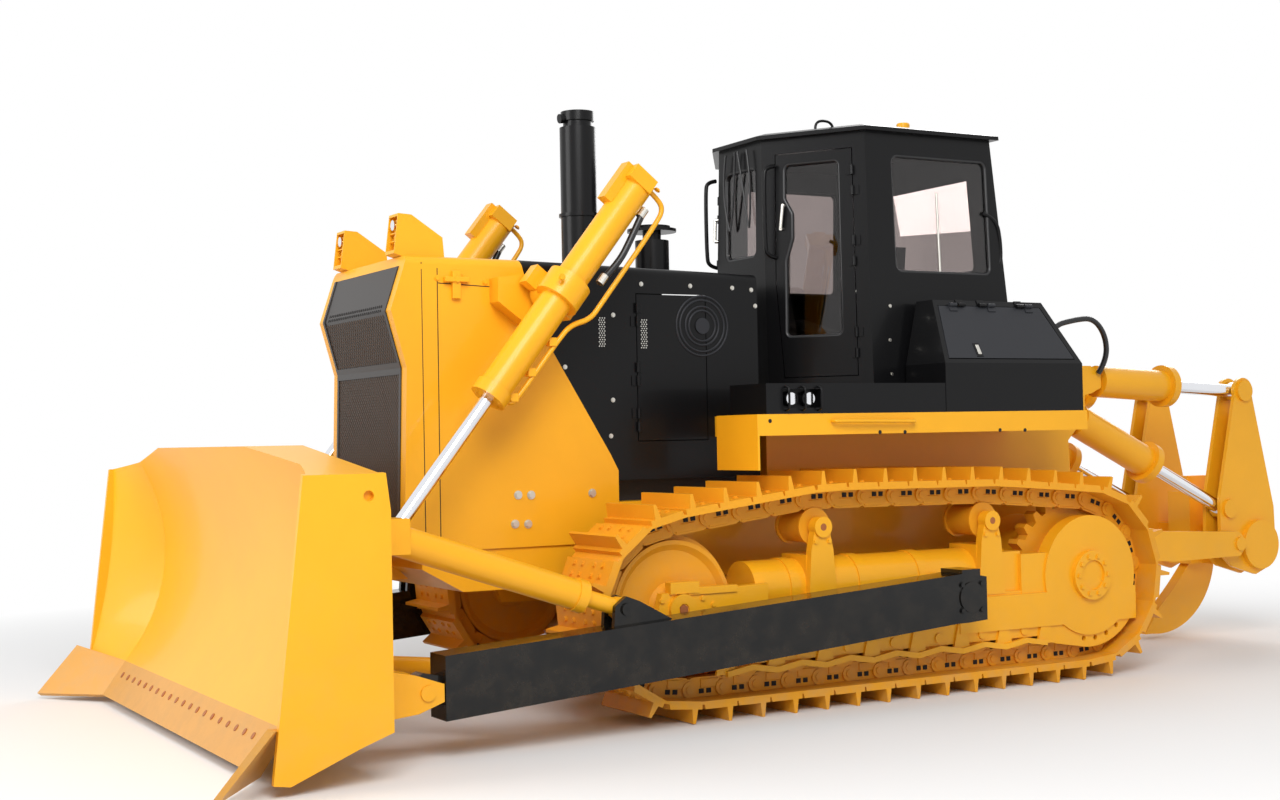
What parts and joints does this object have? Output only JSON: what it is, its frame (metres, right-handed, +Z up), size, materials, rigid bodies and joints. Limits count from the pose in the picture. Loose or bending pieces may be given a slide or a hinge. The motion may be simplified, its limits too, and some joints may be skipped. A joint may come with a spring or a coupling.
{
  "type": "crawler bulldozer",
  "caption": "Crawler bulldozer with a semi-U blade on push arms, a hexagonal cab, raised lift cylinders beside the nose and a single-shank ripper.",
  "frame": {"origin": "on the ground under the middle of the machine's length and width", "axes": "+X forward, towards the blade; +Y to the machine's left; +Z up"},
  "size_m": [8.695, 4.08, 3.6998],
  "materials": {
    "black_paint": "satin black paint",
    "chrome": "polished cylinder rod",
    "dark_metal": "dark cast metal",
    "glass": "lightly tinted safety glass",
    "gloss_black": "gloss black paint",
    "grille_mesh": "black perforated sheet",
    "seat_cover": "dark seat cloth",
    "track_paint": "yellow paint on castings",
    "trim_plastic": "moulded plastic",
    "wear_steel": "painted edge steel",
    "yellow_paint": "gloss yellow paint"
  },
  "bodies": {
    "chassis": {"cab_consoles": "trim_plastic", "cab_glass": "glass", "cab_roof": "black_paint", "cab_seat": "seat_cover", "cab_shell": "black_paint", "carrier_rollers": "track_paint", "engine_block": "dark_metal", "equaliser_bar": "yellow_paint", "exhaust_stack": "black_paint", "fenders": "yellow_paint", "fuel_tank": "black_paint", "grille": "grille_mesh", "hood": "black_paint", "hull": "yellow_paint", "idlers": "track_paint", "lift_brackets": "yellow_paint", "nose": "yellow_paint", "nose_lamps": "yellow_paint", "precleaner": "black_paint", "ripper_bracket": "yellow_paint", "side_box_left": "black_paint", "side_box_right": "black_paint", "side_steps": "black_paint", "sprockets": "track_paint", "track_frame_left": "yellow_paint", "track_frame_right": "yellow_paint", "track_left": "track_paint", "track_right": "track_paint", "track_rollers": "track_paint"},
    "blade": {"mouldboard": "yellow_paint", "cutting_edge": "wear_steel", "push_arm_left": "gloss_black", "push_arm_right": "gloss_black", "screw_brace": "yellow_paint", "tilt_cylinder": "yellow_paint", "diagonal_braces": "yellow_paint"},
    "lift_barrels": {"lift_barrels": "yellow_paint", "lift_yokes": "yellow_paint"},
    "lift_rods": {"lift_rods": "chrome"},
    "ripper_links": {"ripper_links": "yellow_paint"},
    "ripper_pins": {"ripper_pins": "yellow_paint"},
    "ripper_carriage": {"ripper_carriage": "yellow_paint", "ripper_shank": "yellow_paint"},
    "ripper_tilt_barrels": {"ripper_tilt_barrels": "yellow_paint"},
    "ripper_tilt_rods": {"ripper_tilt_rods": "chrome"},
    "ripper_lift_barrels": {"ripper_lift_barrels": "yellow_paint"},
    "ripper_lift_rods": {"ripper_lift_rods": "chrome"},
    "cab_door_left": {"cab_door_left": "black_paint", "cab_door_glass_left": "glass"},
    "engine_door_left": {"engine_door_left": "black_paint"},
    "box_lid_left": {"box_lid_left": "black_paint"},
    "cab_door_right": {"cab_door_right": "black_paint", "cab_door_glass_right": "glass"},
    "engine_door_right": {"engine_door_right": "black_paint"},
    "box_lid_right": {"box_lid_right": "black_paint"}
  },
  "joints": [
    {"name": "blade_lift", "type": "hinge", "parent": "chassis", "child": "blade", "pos_m": [-0.4065, 0, 0.623], "axis": [0, -1, 0], "range_deg": [-7.5, 19.5]},
    {"name": "lift_barrel_swing", "type": "hinge", "parent": "chassis", "child": "lift_barrels", "pos_m": [1.9875, 0, 2.47], "axis": [0, -1, 0], "range_deg": [-9.65, 24.77]},
    {"name": "lift_rod_slide", "type": "slide", "parent": "lift_barrels", "child": "lift_rods", "axis": [0.6196, 0, -0.7849], "range_m": [-0.9988, 0.3872]},
    {"name": "ripper_lift", "type": "hinge", "parent": "chassis", "child": "ripper_links", "pos_m": [-2.3325, 0, 0.8], "axis": [0, 1, 0], "range_deg": [-34, 28]},
    {"name": "ripper_level", "type": "hinge", "parent": "ripper_links", "child": "ripper_pins", "pos_m": [-3.8525, 0, 0.738], "axis": [0, 1, 0], "range_deg": [-28.5, 34.5]},
    {"name": "ripper_tilt", "type": "hinge", "parent": "ripper_pins", "child": "ripper_carriage", "pos_m": [-3.8525, 0, 0.738], "axis": [0, 1, 0], "range_deg": [-12, 12]},
    {"name": "ripper_tilt_barrel_swing", "type": "hinge", "parent": "chassis", "child": "ripper_tilt_barrels", "pos_m": [-2.4725, 0, 1.973], "axis": [0, 1, 0], "range_deg": [-33.35, 27.5]},
    {"name": "ripper_tilt_rod_slide", "type": "slide", "parent": "ripper_tilt_barrels", "child": "ripper_tilt_rods", "axis": [-0.9986, 0, -0.0536], "range_m": [-0.2478, 0.2478]},
    {"name": "ripper_lift_barrel_swing", "type": "hinge", "parent": "chassis", "child": "ripper_lift_barrels", "pos_m": [-2.2925, 0, 1.74], "axis": [0, 1, 0], "range_deg": [-27.4, 22.6]},
    {"name": "ripper_lift_rod_slide", "type": "slide", "parent": "ripper_lift_barrels", "child": "ripper_lift_rods", "axis": [-0.9033, 0, -0.429], "range_m": [-0.2884, 0.3492]},
    {"name": "cab_door_left_swing", "type": "hinge", "parent": "chassis", "child": "cab_door_left", "pos_m": [-0.15752, 0.84288, 1.99], "axis": [-0.0162, -0.0353, 0.9992], "range_deg": [0, 110]},
    {"name": "engine_door_left_swing", "type": "hinge", "parent": "chassis", "child": "engine_door_left", "pos_m": [1.3145, 0.6124, 1.6], "axis": [0, 0, -1], "range_deg": [0, 100]},
    {"name": "box_lid_left_swing", "type": "hinge", "parent": "chassis", "child": "box_lid_left", "pos_m": [-1.0725, 1.15045, 2.43107], "axis": [1, 0, 0], "range_deg": [0, 95]},
    {"name": "cab_door_right_swing", "type": "hinge", "parent": "chassis", "child": "cab_door_right", "pos_m": [-0.15752, -0.84288, 1.99], "axis": [0.0162, -0.0353, -0.9992], "range_deg": [0, 110]},
    {"name": "engine_door_right_swing", "type": "hinge", "parent": "chassis", "child": "engine_door_right", "pos_m": [1.3145, -0.6124, 1.6], "axis": [0, 0, 1], "range_deg": [0, 100]},
    {"name": "box_lid_right_swing", "type": "hinge", "parent": "chassis", "child": "box_lid_right", "pos_m": [-1.0725, -1.15045, 2.43107], "axis": [-1, 0, 0], "range_deg": [0, 95]}
  ],
  "couplings": [
    {"joint": "lift_barrel_swing", "follows": "blade_lift", "ratio": 1.26},
    {"joint": "lift_rod_slide", "follows": "blade_lift", "m_per_rad": -2.92},
    {"joint": "ripper_level", "follows": "ripper_lift", "ratio": -1},
    {"joint": "ripper_tilt_barrel_swing", "follows": "ripper_lift", "ratio": 0.975},
    {"joint": "ripper_tilt_rod_slide", "follows": "ripper_tilt", "m_per_rad": -1.1593},
    {"joint": "ripper_lift_barrel_swing", "follows": "ripper_lift", "ratio": 0.8},
    {"joint": "ripper_lift_rod_slide", "follows": "ripper_lift", "m_per_rad": -0.58}
  ]
}
